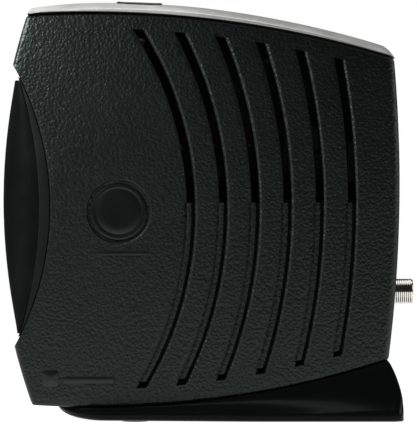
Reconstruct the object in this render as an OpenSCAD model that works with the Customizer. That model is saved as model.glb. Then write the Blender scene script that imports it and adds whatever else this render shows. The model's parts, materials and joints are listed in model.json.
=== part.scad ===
// Upright cable modem: two side shells, a bowed lens front, a bright top trim with a standby
// button, a back panel with its sockets, a board with its parts, and a flared stand.
// +X points at the sockets on the back, +Z is up, and the housing is split on the plane Y = 0.

/* [Housing] */
// Thickness of the housing across its two flat sides
housing_w = 44; // [42:1:46]
// Wall thickness of the side shells
wall = 2.2; // [2:0.1:2.4]
// Radius of the bowed front edge, seen from the side
front_r = 230; // [225:1:235]
// Radius of the top edge
top_r = 405; // [400:1:410]
// Radius of the bottom edge
bottom_r = 365; // [360:1:370]
// Radius of the back edge
back_r = 537; // [530:1:545]

/* [Front] */
// Radius of the curved cut in the shells that the lens front fills
cut_r = 110; // [108:1:112]
// Width of the bezel band beside the cut
band_w = 4.4; // [4:0.1:5]
// Thickness of the lens
lens_t = 2.2; // [2:0.1:2.5]

/* [Vents] */
// Number of curved grooves on each side
vent_count = 6; // [4:1:6]
// Distance between grooves at mid height
vent_pitch = 12.24; // [12:0.02:12.4]
// Width of a groove
groove_w = 4.2; // [3.8:0.1:4.6]
// Depth of a groove
groove_d = 1.2; // [0.8:0.1:1.4]
// Width of the open slot in a groove's upper half
slot_w = 2.8; // [2.2:0.1:3]

/* [Stand] */
// Half width of the stand at its back
stand_half_w = 28.5; // [28:0.5:30]
// Wall thickness of the stand
stand_wall = 2.2; // [2:0.1:2.5]
// Radius of a rubber foot
foot_r = 5; // [4.5:0.5:5.5]

/* [Controls] */
// Length of the standby button
button_len = 17.6; // [16.4:0.2:18.4]
// Width of the standby button
button_w = 24; // [22:0.5:26]

/* [Hidden] */

$fn = 48;
fine = 256;
half_w = housing_w / 2;
gap = 0.15;

// Extreme points of the housing's four edge arcs, as [x, z]
front_at = [-80.63, 83.25];
top_at = [-46, 155];
bottom_at = [-45, 5.3];
back_at = [72.8, 90.6];
// Rounding of the side faces' rims along those edges
front_round = 2;
top_round = 1.2;
bottom_round = 1.2;
back_round = 3.4;

// Lens front
cut_at = [-60.3, 81.5];
nose_tip = [-79.4, 84];
nose_sweep_r = 226;
lens_recess = 1;
window_count = 6;
window_pitch = 12;
window_z = 52;

// Grooves: the first one's rear edge at mid height, and how their curvature falls going back
vent_x = -4.6;
vent_z = 79.7;
vent_z_step = 0.5;
vent_curve = 0.00765;
vent_curve_step = 0.00087;
vent_top_gap = 5.6;
vent_bottom_gap = 6.8;
slot_foot_z = 83;
vent_lip = 0.3;
slot_lip = 0.7;

// Round badge recess and the blank raised bars beside it
badge_at = [-34.3, 79.7];
badge_r = 12.4;
badge_d = 0.8;

// Top trim and standby button
trim_at = [-39.6, 160.4];
trim_sweep_r = 359;
trim_half_w = 21.7;
trim_crown = 3.6;
trim_gap = 1.1;
trim_neck_half_w = 20.4;
trim_tab_x = [-58, 44];
button_x = -26.7;
button_corner_r = 5;
button_rise = 0.55;
stem_y = 3.4;
switch_top_z = 144.6;
plunger_top_z = 146.8;

// Board
board_y = 7;
board_t = 1.6;
board_holes = [[-51, 21], [-51, 139], [60, 112], [16, 24]];

// Sockets on the back, as heights above the floor
cable_z = 49;
power_z = 35.5;
reset_z = 67;
usb_z = 79;
ethernet_z = 99;
jack_face_x = 69.6;
power_face_x = 66.4;
reset_y = 3.5;
cable_tip_x = 79.4;
cable_r = 4.76;
nut_x = 68.3;
nut_t = 2;
window_half_w = 16;
back_screw_at = [[-11.5, 34], [12.2, 131]];

// Stand
foot_z = 0.6;
stand_back_x = 74;
stand_bow_x = -58.2;
stand_screw_at = [[-20, -8], [38, 13]];
foot_at = [[-28, -19], [-28, 19], [60, -19], [60, 19]];

black = [0.1, 0.11, 0.11];
satin = [0.05, 0.055, 0.055];
silver = [0.75, 0.75, 0.73];
steel = [0.7, 0.7, 0.68];
gold = [0.83, 0.66, 0.3];

// ---------- helpers ----------

// Extrudes a side-view outline, drawn as x and z, from y0 to y1
module side(y0, y1) {
    translate([0, y1, 0]) rotate([90, 0, 0]) linear_extrude(y1 - y0) children();
}

module disc(at, r) {
    translate(at) circle(r = r, $fn = fine);
}

// Turns a profile, drawn as radius and y, about an axis along Y through at
module turn(at) {
    translate([at[0], 0, at[1]]) rotate([-90, 0, 0]) rotate_extrude($fn = fine) children();
}

module block(lo, hi) {
    translate(lo) cube(hi - lo);
}

// A cylinder along +X from x0 to x1
module rod_x(x0, x1, y, z, r) {
    translate([x0, y, z]) rotate([0, 90, 0]) cylinder(r = r, h = x1 - x0);
}

module rod_z(z0, z1, x, y, r) {
    translate([x, y, z0]) cylinder(r = r, h = z1 - z0);
}

// A cylinder along +Y from y0 to y1
module rod_y(y0, y1, x, z, r) {
    translate([x, y0, z]) rotate([-90, 0, 0]) cylinder(r = r, h = y1 - y0);
}

// Joins a row of sections, each a ring of points, into one solid
module skin(rings) {
    n = len(rings[0]);
    last = (len(rings) - 1) * n;
    sides = [for (i = [0 : len(rings) - 2]) for (j = [0 : n - 1])
        let (a = i * n + j, b = i * n + (j + 1) % n) each [[a, b, b + n], [a, b + n, a + n]]];
    polyhedron(points = [for (ring = rings) each ring],
        faces = concat([[for (j = [n - 1 : -1 : 0]) j]], sides,
            [[for (j = [0 : n - 1]) last + j]]));
}

// Puts a part on the board's face: its own z points away from the board
module on_board(x, z) {
    translate([x, board_y, z]) rotate([90, 0, 0]) children();
}

// ---------- housing outline ----------

front_c = [front_at[0] + front_r, front_at[1]];
top_c = [top_at[0], top_at[1] - top_r];
bottom_c = [bottom_at[0], bottom_at[1] + bottom_r];
back_c = [back_at[0] - back_r, back_at[1]];
cut_c = [cut_at[0] - cut_r, cut_at[1]];
nose_c = [nose_tip[0] + nose_sweep_r, nose_tip[1]];
trim_c = [trim_at[0], trim_at[1] - trim_sweep_r];

module housing_outline(inset = 0) {
    intersection() {
        disc(front_c, front_r - inset);
        disc(top_c, top_r - inset);
        disc(bottom_c, bottom_r - inset);
        disc(back_c, back_r - inset);
    }
}

// Half section of a disc whose rim is rounded in three flats
module rim_section(r, round_r) {
    steps = 3;
    arc = [for (i = [0 : steps]) let (a = 90 * i / steps)
        [r - round_r + round_r * cos(a), half_w - round_r + round_r * sin(a)]];
    back_arc = [for (i = [steps : -1 : 0]) [arc[i][0], -arc[i][1]]];
    polygon(concat(arc, [[0, half_w], [0, -half_w]], back_arc));
}

// The housing as a solid lump, with its rims rounded
module housing_lump() {
    intersection() {
        turn(front_c) rim_section(front_r, front_round);
        turn(top_c) rim_section(top_r, top_round);
        turn(bottom_c) rim_section(bottom_r, bottom_round);
        turn(back_c) rim_section(back_r, back_round);
    }
}

// ---------- vents ----------

module vent_ring(i, r_out, r_in) {
    x = vent_x + i * vent_pitch;
    r = 1 / (vent_curve - i * vent_curve_step);
    z = vent_z + i * vent_z_step;
    intersection() {
        difference() {
            disc([x - r, z], r - r_out);
            disc([x - r, z], r - r_in);
        }
        disc(top_c, top_r - vent_top_gap);
        disc(bottom_c, bottom_r - vent_bottom_gap);
        translate([x - 60, 0]) square([62, 170]);
    }
}

module vents(y_face, into) {
    y_floor = y_face + into * groove_d;
    y_through = y_face + into * (wall + 1);
    for (i = [0 : vent_count - 1]) {
        side(min(y_face - into, y_floor), max(y_face - into, y_floor))
            vent_ring(i, -vent_lip, groove_w - vent_lip);
        side(min(y_face, y_through), max(y_face, y_through))
            intersection() {
                vent_ring(i, slot_lip, slot_lip + slot_w);
                translate([-100, slot_foot_z]) square([200, 100]);
            }
    }
}

// ---------- side shells ----------

module lens_opening() {
    side(-half_w - 1, half_w + 1) disc(cut_c, cut_r);
}

module back_window() {
    block([60, -window_half_w, 30], [80, window_half_w, 136]);
}

module button_hole() {
    w = button_w + 0.8;
    l = button_len + 0.8;
    block([button_x - l / 2, -w / 2, 140], [button_x + l / 2, w / 2, 160]);
}

module trim_slots() {
    for (x = trim_tab_x) block([x - 4.2, -2.2, 130], [x + 4.2, 2.2, 160]);
}

// One hollow half before its own details: y_sign picks the side
module shell_half(y_sign) {
    y0 = y_sign < 0 ? -half_w - 1 : 0;
    y1 = y_sign < 0 ? 0 : half_w + 1;
    difference() {
        intersection() {
            housing_lump();
            block([-100, y0, -10], [100, y1, 180]);
        }
        side(-half_w + wall, half_w - wall) housing_outline(wall);
        lens_opening();
        back_window();
        button_hole();
        trim_slots();
        vents(y_sign * half_w, -y_sign);
        for (p = stand_screw_at) rod_z(0, 30, p[0], p[1], 1.3);
    }
}

// A boss for a back panel screw, tied to the side wall by a rib
module back_boss(at, y_sign) {
    y_wall = y_sign * (half_w - wall / 2);
    x1 = back_panel_x(at[1]) - 1.8 - gap;
    difference() {
        union() {
            rod_x(x1 - 10, x1, at[0], at[1], 3);
            block([x1 - 10, min(at[0], y_wall), at[1] - 1], [x1, max(at[0], y_wall), at[1] + 1]);
        }
        rod_x(x1 - 9, x1 + 1, at[0], at[1], 1.3);
    }
}

// A boss for a stand screw, standing on the bottom wall
module stand_boss(at) {
    z0 = bottom_edge(at[0]) + wall / 2;
    difference() {
        rod_z(z0, z0 + 10, at[0], at[1], 3);
        rod_z(0, z0 + 9, at[0], at[1], 1.3);
    }
}

// Heights of the housing's edges at x, and the back panel's outer face at height z
function bottom_edge(x) = bottom_c[1] - sqrt(pow(bottom_r, 2) - pow(x - bottom_c[0], 2));
function top_edge(x) = top_c[1] + sqrt(pow(top_r, 2) - pow(x - top_c[0], 2));
function back_panel_x(z) =
    back_c[0] + sqrt(pow(back_r - wall - gap, 2) - pow(z - back_c[1], 2));

module left_shell() {
    color(black) union() {
        difference() {
            shell_half(-1);
            rod_y(-half_w - 1, -half_w + badge_d, badge_at[0], badge_at[1], badge_r);
        }
        rod_y(-half_w + 0.3, -half_w + badge_d + 0.2, badge_at[0], badge_at[1], badge_r - 2.4);
        back_boss(back_screw_at[0], -1);
        stand_boss(stand_screw_at[0]);
    }
}

module right_shell() {
    color(black) union() {
        shell_half(1);
        back_boss(back_screw_at[1], 1);
        stand_boss(stand_screw_at[1]);
        for (p = board_holes)
            difference() {
                rod_y(board_y + board_t, half_w - wall / 2, p[0], p[1], 3);
                rod_y(board_y, half_w - wall, p[0], p[1], 1.3);
            }
    }
}

// ---------- lens front ----------

band_r = 159;
band_c = [cut_at[0] - band_w - band_r, cut_at[1]];
lens_z = [33.5, 35, 38, 43, 50, 58, 66, 75, 84, 93, 102, 110, 118, 124, 127.5, 129.6];
lens_hollow_z = [40, 44, 50, 58, 66, 75, 84, 93, 102, 110, 118, 123];
lens_half_w = half_w - lens_recess - 0.3;

// Front of the lens on the centre plane, and the bezel band's front edge, at height z
function lens_x(z) = nose_c[0] - sqrt(pow(nose_sweep_r, 2) - pow(z - nose_c[1], 2));
function band_x(z) = band_c[0] + sqrt(pow(band_r, 2) - pow(z - band_c[1], 2)) - 0.1;

module front_bezel() {
    outer_y = half_w - lens_recess;
    inner_y = half_w - wall - gap;
    color(satin) difference() {
        union() {
            side(-outer_y, outer_y) difference() {
                disc(cut_c, cut_r - gap);
                disc(band_c, band_r);
                translate([-150, cut_at[1] + 49.4]) square([100, 60]);
                translate([-150, cut_at[1] - 109.4]) square([100, 60]);
            }
            side(-inner_y, inner_y) intersection() {
                difference() {
                    disc(cut_c, cut_r + 3);
                    disc(cut_c, cut_r - 0.5);
                }
                housing_outline(wall + gap);
                translate([-90, cut_at[1] - 49.4]) square([60, 98.8]);
            }
        }
        block([-90, -inner_y + 2, cut_at[1] - 46], [-50, inner_y - 2, cut_at[1] + 46]);
    }
}

// A half oval from side to side at height z, with its ends carried back by tail
function lens_ring(z, inset, tail) =
    let (x = band_x(z), deep = x - lens_x(z) - inset)
    concat([[x + tail, inset - lens_half_w, z]],
        [for (a = [-80 : 16 : 80]) [x - deep * cos(a), (lens_half_w - inset) * sin(a), z]],
        [[x + tail, lens_half_w - inset, z]]);

module front_lens() {
    color([0.03, 0.035, 0.035]) difference() {
        skin([for (z = lens_z) lens_ring(z, 0, 0)]);
        skin([for (z = lens_hollow_z) lens_ring(z, lens_t, 2)]);
        for (i = [0 : window_count - 1])
            block([-90, -2.8, window_z + i * window_pitch - 1.2],
                [-70, 2.8, window_z + i * window_pitch + 1.2]);
    }
}

// Six clear bars that carry the lamps' light from the board's edge to the lens windows
module light_pipes() {
    color([0.85, 0.9, 0.88]) for (i = [0 : window_count - 1]) {
        z = window_z + i * window_pitch;
        x = lens_x(z) + 0.25;
        translate([0, 0, z - 1]) linear_extrude(2)
            polygon([[x, -2.6], [x, 2.6], [x + 6, 2.6], [-61, 5.6], [-61, 3], [x + 8, -2.6]]);
    }
}

module status_leds() {
    color([0.6, 0.85, 0.55]) for (i = [0 : window_count - 1]) {
        z = window_z + i * window_pitch;
        block([-60.6, 2.9, z - 1.5], [-56, board_y, z + 1.5]);
    }
}

// ---------- top trim and standby button ----------

// Crowned section of the trim, grown by rise: an arc across the housing
module crown(rise, y) {
    r = (pow(trim_half_w, 2) + pow(trim_crown, 2)) / (2 * trim_crown);
    turn(trim_c) intersection() {
        union() {
            translate([0, -y]) square([trim_sweep_r - trim_crown - 0.2, 2 * y]);
            translate([trim_sweep_r - r, 0]) circle(r = r + rise, $fn = fine);
        }
        translate([0, -y]) square([trim_sweep_r + 5, 2 * y]);
    }
}

module button_plan(grow, z0, z1) {
    r = button_corner_r + grow;
    l = button_len + 2 * grow;
    w = button_w + 2 * grow;
    translate([button_x, 0, z0]) linear_extrude(z1 - z0) {
        square([l, w - 2 * r], center = true);
        square([l - 2 * r, w], center = true);
        for (sx = [-1, 1]) for (sy = [-1, 1])
            translate([sx * (l / 2 - r), sy * (w / 2 - r)]) circle(r = r);
    }
}

module top_trim() {
    color(silver) difference() {
        union() {
            difference() {
                intersection() {
                    crown(0, trim_half_w);
                    block([-71, -half_w, 130], [71, half_w, 170]);
                    side(-half_w, half_w) disc(front_c, front_r - 0.4);
                    side(-half_w, half_w) disc(back_c, back_r - 0.4);
                }
                side(-half_w - 1, half_w + 1) disc(top_c, top_r + gap);
                for (s = [-1, 1])
                    translate([0, s * (half_w + trim_neck_half_w) / 2, 0])
                        side((trim_neck_half_w - half_w) / 2, (half_w - trim_neck_half_w) / 2)
                            disc(top_c, top_r + trim_gap);
            }
            for (x = trim_tab_x) trim_tab(x);
        }
        button_plan(0.25, 130, 170);
    }
}

// A split tab that goes down through the shells' slots and hooks under the wall
module trim_tab(x) {
    z = top_edge(x);
    difference() {
        union() {
            block([x - 4, -1.9, z - 5.5], [x + 4, 1.9, z + 0.6]);
            translate([x - 4, 0, z - 5.5]) rotate([90, 0, 90])
                linear_extrude(8) polygon([[-1.9, 0], [-2.9, 2.2], [2.9, 2.2], [1.9, 0]]);
        }
        block([x - 5, -0.7, z - 7], [x + 5, 0.7, z - 0.2]);
    }
}

module standby_button() {
    flange_z = top_edge(button_x + button_len / 2) - wall - 0.3;
    color(satin) union() {
        intersection() {
            crown(button_rise, button_w);
            button_plan(0, flange_z - 0.2, 170);
        }
        button_plan(0.9, flange_z - 1.4, flange_z);
        rod_z(plunger_top_z, flange_z - 1, button_x, stem_y, 1.8);
    }
}

module switch_body(len) {
    difference() {
        translate([-3, -3, 0]) cube([6, 6, len]);
        translate([0, 0, len - 1.6]) cylinder(r = 1.8, h = 3);
    }
}

// Small push switches: the body's own z runs along the plunger
module standby_switch() {
    color([0.12, 0.12, 0.13]) translate([button_x, stem_y, switch_top_z - 4]) {
        switch_body(4);
        block([-3, 3, 0], [3, board_y - stem_y, 4]);
    }
}

module standby_plunger() {
    color([0.85, 0.84, 0.8]) rod_z(switch_top_z - 0.9, plunger_top_z, button_x, stem_y, 1.72);
}

module reset_switch() {
    color([0.12, 0.12, 0.13]) translate([62, reset_y, reset_z]) {
        translate([-4, 0, 0]) rotate([0, 90, 0]) switch_body(4);
        block([-4, 3, -3], [0, board_y - reset_y, 3]);
    }
}

module reset_plunger() {
    color([0.85, 0.84, 0.8]) rod_x(61.1, 64.4, reset_y, reset_z, 1.72);
}

// ---------- back panel ----------

module back_panel() {
    color(black) difference() {
        side(-half_w + wall + gap, half_w - wall - gap) intersection() {
            difference() {
                disc(back_c, back_r - wall - gap);
                disc(back_c, back_r - wall - gap - 1.8);
            }
            housing_outline(wall + gap);
            translate([50, 28]) square([40, 110]);
        }
        rod_x(60, 80, 0, cable_z, 4.5);
        rod_x(60, 80, 1.4, power_z, 4);
        rod_x(60, 80, reset_y, reset_z, 1.1);
        block([60, -4.4, usb_z - 6.3], [80, board_y + 0.3, usb_z + 6.3]);
        block([60, -6.8, ethernet_z - 8.4], [80, board_y + 0.3, ethernet_z + 8.4]);
        for (i = [0 : 4])
            block([60, -10, 112 + i * 4], [80, 7, 113.8 + i * 4]);
        rod_x(nut_x - 0.02, 80, 0, cable_z, 7);
        for (p = back_screw_at) {
            rod_x(60, 80, p[0], p[1], 1.6);
            rod_x(back_panel_x(p[1]) - 0.35, 80, p[0], p[1], 2.9);
        }
    }
}

// Pan-head screw along +Z with its head's seat at z = 0 and a cross recess
module screw(len, head_r, r) {
    difference() {
        union() {
            cylinder(r = head_r, h = 1.6);
            translate([0, 0, -len]) cylinder(r = r, h = len + 0.1);
        }
        for (a = [0, 90]) rotate(a) translate([-1.3, -0.3, 0.8]) cube([2.6, 0.6, 1]);
    }
}

module back_screws() {
    color(steel) for (p = back_screw_at)
        translate([back_panel_x(p[1]) - 0.33, p[0], p[1]]) rotate([0, 90, 0]) screw(8, 2.6, 1.25);
}

// ---------- board ----------

module board_outline() {
    intersection() {
        housing_outline(wall + 3.1);
        translate([-58, 0]) square([121.5, 170]);
    }
}

module main_board() {
    color([0.05, 0.3, 0.16]) difference() {
        side(board_y, board_y + board_t) board_outline();
        for (p = board_holes) rod_y(board_y - 1, board_y + 3, p[0], p[1], 1.5);
    }
}

module board_screws() {
    color(steel) for (p = board_holes) on_board(p[0], p[1]) screw(8, 2.6, 1.25);
}

// ---------- cable connector and tuner ----------

can_x0 = 26;
can_x1 = 62;
can_z0 = 41;
can_z1 = 62.6;
can_h = 13;

module tuner_can() {
    t = 0.5;
    color(steel) on_board(0, 0) difference() {
        translate([can_x0, can_z0, 0]) cube([can_x1 - can_x0, can_z1 - can_z0, can_h]);
        translate([can_x0 + t, can_z0 + t, t])
            cube([can_x1 - can_x0 - 2 * t, can_z1 - can_z0 - 2 * t, can_h]);
        translate([can_x1 - 1, cable_z, board_y]) rotate([0, 90, 0]) cylinder(r = 3.2, h = 2);
    }
}

module tuner_lid() {
    color(silver) on_board(0, 0) difference() {
        translate([can_x0 - 0.5, can_z0 - 0.5, can_h - 2])
            cube([can_x1 - can_x0 + 0.5, can_z1 - can_z0 + 1, 2.5]);
        translate([can_x0 - 0.05, can_z0 - 0.05, can_h - 3])
            cube([can_x1 - can_x0 + 1, can_z1 - can_z0 + 0.1, 3]);
        for (i = [0 : 3])
            translate([can_x0 + 5 + 7.5 * i, (can_z0 + can_z1) / 2, can_h - 1])
                cylinder(r = 1.5, h = 3);
    }
}

module cable_connector() {
    color(steel) difference() {
        union() {
            rod_x(can_x1, nut_x + nut_t + 0.1, 0, cable_z, 4.2);
            rod_x(nut_x + nut_t, cable_tip_x - 0.5, 0, cable_z, cable_r);
            translate([cable_tip_x - 0.5, 0, cable_z]) rotate([0, 90, 0])
                cylinder(r1 = cable_r, r2 = cable_r - 0.5, h = 0.5);
        }
        rod_x(can_x1 - 1, cable_tip_x + 1, 0, cable_z, 3.6);
    }
}

// Hex nut that holds the connector to the back panel
module cable_nut() {
    color(steel) difference() {
        translate([nut_x, 0, cable_z]) rotate([0, 90, 0]) cylinder(r = 6.3, h = nut_t, $fn = 6);
        rod_x(nut_x - 1, nut_x + nut_t + 1, 0, cable_z, 4.3);
    }
}

module cable_insulator() {
    color([0.93, 0.93, 0.9]) difference() {
        rod_x(can_x1, cable_tip_x - 0.5, 0, cable_z, 3.55);
        rod_x(can_x1 - 1, cable_tip_x - 3.4, 0, cable_z, 1.25);
        rod_x(can_x1, cable_tip_x + 1, 0, cable_z, 0.65);
    }
}

module cable_contact() {
    color(gold) difference() {
        rod_x(can_x1 - 6, cable_tip_x - 3.5, 0, cable_z, 1.2);
        rod_x(can_x1, cable_tip_x, 0, cable_z, 0.6);
    }
}

// ---------- Ethernet socket ----------

eth_x0 = jack_face_x - 16;
eth_h = 13.3;

module ethernet_jack() {
    color([0.1, 0.1, 0.11]) on_board(0, ethernet_z) difference() {
        translate([eth_x0, -7.8, 0]) cube([16, 15.6, eth_h - 0.4]);
        translate([eth_x0 + 2.5, -5.9, 2.6]) cube([20, 11.8, 7]);
        translate([eth_x0 + 2.5, -3, 1]) cube([20, 6, 2]);
        translate([eth_x0 + 7, -4.5, 9]) cube([20, 9, 2]);
    }
}

// Folded tin collar round the front of the socket
module ethernet_shield() {
    t = 0.3;
    color(steel) on_board(0, ethernet_z) difference() {
        translate([eth_x0 + 4.4, -7.8 - t - 0.05, 0]) cube([11.6, 15.7 + 2 * t, eth_h + t]);
        translate([eth_x0, -7.85, -1]) cube([20, 15.7, eth_h + 1]);
    }
}

module ethernet_contacts() {
    color(gold) on_board(0, ethernet_z) for (i = [0 : 7])
        translate([eth_x0 + 2.7, -3.57 + i * 1.02 - 0.2, 8]) rotate([90, 0, 0])
            mirror([0, 0, 1]) linear_extrude(0.4)
                polygon([[0, 1.4], [6, 0.2], [8, 0.6], [8, 1], [6, 0.6], [0.2, 1.55]]);
}

// ---------- USB socket ----------

usb_x0 = jack_face_x - 12;

module usb_shell() {
    t = 0.5;
    color(steel) on_board(0, usb_z) difference() {
        translate([usb_x0, -6, 0]) cube([12.4, 12, 11.2]);
        translate([usb_x0 + t, -6 + t, -1]) cube([20, 12 - 2 * t, 11.2 + 1 - t]);
    }
}

module usb_insulator() {
    color([0.92, 0.92, 0.9]) on_board(0, usb_z) union() {
        difference() {
            translate([usb_x0 + 0.6, -5.4, 0.05]) cube([11.4, 10.8, 10.5]);
            translate([usb_x0 + 2.4, 0, 0]) rotate([90, 0, 90]) linear_extrude(16)
                polygon([[-4.2, 1.4], [4.2, 1.4], [4.2, 7.4], [2.4, 9.2], [-2.4, 9.2],
                    [-4.2, 7.4]]);
        }
        translate([usb_x0 + 2, -2.8, 3.7]) cube([9, 5.6, 3.2]);
    }
}

module usb_contacts() {
    color(gold) on_board(0, usb_z) for (s = [-1, 1]) for (z = [3.45, 6.9])
        translate([usb_x0 + 3.4, s * 1.25 - 0.5, z]) cube([6.4, 1, 0.25]);
}

// ---------- power socket ----------

module power_jack() {
    color([0.08, 0.08, 0.09]) difference() {
        union() {
            block([power_face_x - 14, -3.6, power_z - 4.5],
                [power_face_x - 1.8, board_y, power_z + 4.5]);
            rod_x(power_face_x - 2.4, power_face_x, 1.4, power_z, 3.9);
        }
        rod_x(power_face_x - 10, power_face_x + 1, 1.4, power_z, 3.1);
        rod_x(power_face_x - 15, power_face_x + 1, 1.4, power_z, 1.05);
    }
}

module power_pin() {
    color(steel) union() {
        rod_x(power_face_x - 14.8, power_face_x - 1.6, 1.4, power_z, 1);
        translate([power_face_x - 1.6, 1.4, power_z]) sphere(r = 1);
    }
}

// ---------- board parts ----------

chip_at = [-8, 84];

module main_chip() {
    color([0.09, 0.09, 0.1]) on_board(chip_at[0], chip_at[1])
        translate([-13.5, -13.5, 0]) cube([27, 27, 2.2]);
}

module heat_sink() {
    color([0.15, 0.15, 0.16]) on_board(chip_at[0], chip_at[1]) translate([-13, -13, 2.2]) {
        cube([26, 26, 2]);
        for (i = [0 : 7]) translate([i * 26 / 7.6, 0, 1]) cube([1.4, 26, 8]);
    }
}

module memory_chips() {
    color([0.09, 0.09, 0.1]) {
        on_board(28, 92) cube([22.2, 10.2, 1.2], center = false);
        on_board(28, 76) cube([18.4, 10.2, 1.2], center = false);
        on_board(-44, 74) cube([14, 20, 1.2], center = false);
    }
}

module capacitors() {
    color([0.2, 0.24, 0.34]) {
        for (p = [[46, 33.5], [34, 31.5]]) on_board(p[0], p[1]) cylinder(r = 5, h = 12.5);
        for (p = [[-40, 50], [-28, 50], [-40, 110]]) on_board(p[0], p[1])
            cylinder(r = 4, h = 11);
        for (p = [[4, 50], [4, 118]]) on_board(p[0], p[1]) cylinder(r = 3.15, h = 7);
    }
}

module power_inductor() {
    color([0.3, 0.2, 0.12]) on_board(-8, 34) difference() {
        cylinder(r = 7, h = 6.5);
        translate([0, 0, -1]) cylinder(r = 3, h = 8);
    }
}

module ethernet_transformer() {
    color([0.1, 0.1, 0.11]) on_board(36, 108) translate([-6.4, -4.8, 0]) cube([12.8, 9.6, 5.4]);
}

module clock_crystal() {
    color(silver) on_board(-34, 124) {
        translate([-3.5, 0, 0]) cylinder(r = 2.3, h = 3.6);
        translate([3.5, 0, 0]) cylinder(r = 2.3, h = 3.6);
        translate([-3.5, -2.3, 0]) cube([7, 4.6, 3.6]);
    }
}

// Rows of small resistors and capacitors beside the chips
module small_parts() {
    color([0.5, 0.42, 0.33]) {
        for (i = [0 : 7]) on_board(-24 + i * 4.2, 104) cube([1, 2, 0.7]);
        for (i = [0 : 7]) on_board(-24 + i * 4.2, 62) cube([1, 2, 0.7]);
        for (i = [0 : 5]) on_board(14, 72 + i * 4.5) cube([2, 1, 0.7]);
        for (i = [0 : 5]) on_board(-52, 53 + i * 12) cube([2, 1.2, 0.7]);
        for (i = [0 : 4]) on_board(20, 112 + i * 3.6) cube([2.4, 1.4, 0.9]);
    }
}

// ---------- stand ----------

// Where the stand is cut into sections from front to back, and where its hollow starts
stand_x = [-58, -57.2, -55.5, -53, -49, -45, -41, -36, -30, -20, -10, 0, 10, 20, 30, 40, 50, 60,
    68.3, 70.1, 71.7, 72.9, 73.7, 74];
hollow_x = [-38, -30, -20, -10, 0, 10, 20, 30, 40, 50, 60, 68.3, 70.1, 71.7];
bow_r = 32;
bow_end_x = -41;
bow_len = 17.5;
bow_lift = 5;
corner_r = 5;
back_bow_r = 40;
back_bow_z = 2.6;
band_h = 3.4;
foot_round = 2.2;

// Half width of the stand in plan at x: a round bow, straight sides, rounded back corners
function stand_half(x) =
    x < stand_bow_x + bow_r ? min(stand_half_w, sqrt(max(0, pow(bow_r, 2)
        - pow(stand_bow_x + bow_r - x, 2)))) :
    x > stand_back_x - corner_r ? stand_half_w - corner_r
        + sqrt(max(0, pow(corner_r, 2) - pow(x - stand_back_x + corner_r, 2))) :
    stand_half_w;

// Underside of the stand at x, lifting at the bow
function stand_low(x) =
    x > bow_end_x ? foot_z :
    foot_z + bow_lift * (1 - sqrt(1 - pow((bow_end_x - x) / bow_len, 2)));

// Top of the stand at x: the housing's bottom edge, or the bowed back
function stand_high(x) =
    let (back = x - stand_back_x + back_bow_r)
    min(bottom_edge(x) - gap, back_bow_z
        + (back < 0 ? back_bow_r : sqrt(max(0, pow(back_bow_r, 2) - pow(back, 2)))));

// One section: the flank flares out in a hollow curve down to an upright band
function stand_ring(x, inset) =
    let (wide = stand_half(x) - inset,
        top_half = min(half_w + 0.2, 0.93 * stand_half(x)) - inset,
        low = inset > 0 ? -1 : stand_low(x),
        seam = bottom_edge(x) - gap,
        crease = stand_low(x) + min(band_h, 0.68 * (stand_high(x) - stand_low(x))),
        high = max(stand_high(x) - inset, crease - inset),
        round_r = inset > 0 ? 0 : foot_round,
        flank = [for (k = [0 : 4]) let (z = high + (crease - inset - high) * k / 4,
                part = min(1, (seam - inset - z) / (seam - crease)))
            [top_half + (wide - top_half) * pow(part, 2), z]],
        base = [[wide, low + 0.45 * (crease - inset - low)],
            [wide - 0.3 * round_r, low + 0.2 * (crease - inset - low)], [wide - round_r, low]],
        half = concat(flank, base))
    concat([for (p = half) [x, p[0], p[1]]],
        [for (i = [len(half) - 1 : -1 : 0]) [x, -half[i][0], half[i][1]]]);

module stand_loft(places, inset) {
    skin([for (x = places) stand_ring(x, inset)]);
}

function screw_seat(x) = bottom_edge(x) - 3;

module stand() {
    color(satin) difference() {
        stand_loft(stand_x, 0);
        difference() {
            stand_loft(hollow_x, stand_wall);
            for (p = stand_screw_at) rod_z(-2, 30, p[0], p[1], 4.4);
        }
        for (p = stand_screw_at) {
            rod_z(-1, 30, p[0], p[1], 1.6);
            rod_z(-1, screw_seat(p[0]), p[0], p[1], 3.2);
        }
    }
}

module stand_plate() {
    fit = stand_wall + 0.2;
    edge = [for (x = hollow_x) [min(max(x, hollow_x[0] + 0.2), 71.5), stand_half(x) - fit]];
    color(satin) difference() {
        translate([0, 0, foot_z]) linear_extrude(1.1) polygon(concat(edge,
            [for (i = [len(edge) - 1 : -1 : 0]) [edge[i][0], -edge[i][1]]]));
        for (p = foot_at) rod_z(-1, foot_z + 0.6, p[0], p[1], foot_r + 0.15);
        for (p = stand_screw_at) rod_z(-1, 5, p[0], p[1], 4.7);
    }
}

module stand_feet() {
    color([0.13, 0.13, 0.13]) for (p = foot_at) rod_z(0, foot_z + 0.6, p[0], p[1], foot_r);
}

module stand_screws() {
    color(steel) for (p = stand_screw_at)
        translate([p[0], p[1], screw_seat(p[0])]) rotate([180, 0, 0]) screw(10, 2.8, 1.25);
}

left_shell();
right_shell();
front_bezel();
front_lens();
light_pipes();
top_trim();
standby_button();
standby_switch();
standby_plunger();
back_panel();
back_screws();
stand();
stand_plate();
stand_feet();
stand_screws();
main_board();
board_screws();
tuner_can();
tuner_lid();
cable_connector();
cable_nut();
cable_insulator();
cable_contact();
ethernet_jack();
ethernet_shield();
ethernet_contacts();
usb_shell();
usb_insulator();
usb_contacts();
power_jack();
power_pin();
reset_switch();
reset_plunger();
status_leds();
main_chip();
heat_sink();
memory_chips();
capacitors();
power_inductor();
ethernet_transformer();
clock_crystal();
small_parts();
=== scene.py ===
"""Upright cable modem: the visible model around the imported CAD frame.

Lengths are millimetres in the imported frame, down to the section on stage, light and camera,
which is in metres. +X points at the sockets on the back, +Z is up, and the camera looks along +Y.
"""

import json
import math

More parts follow.
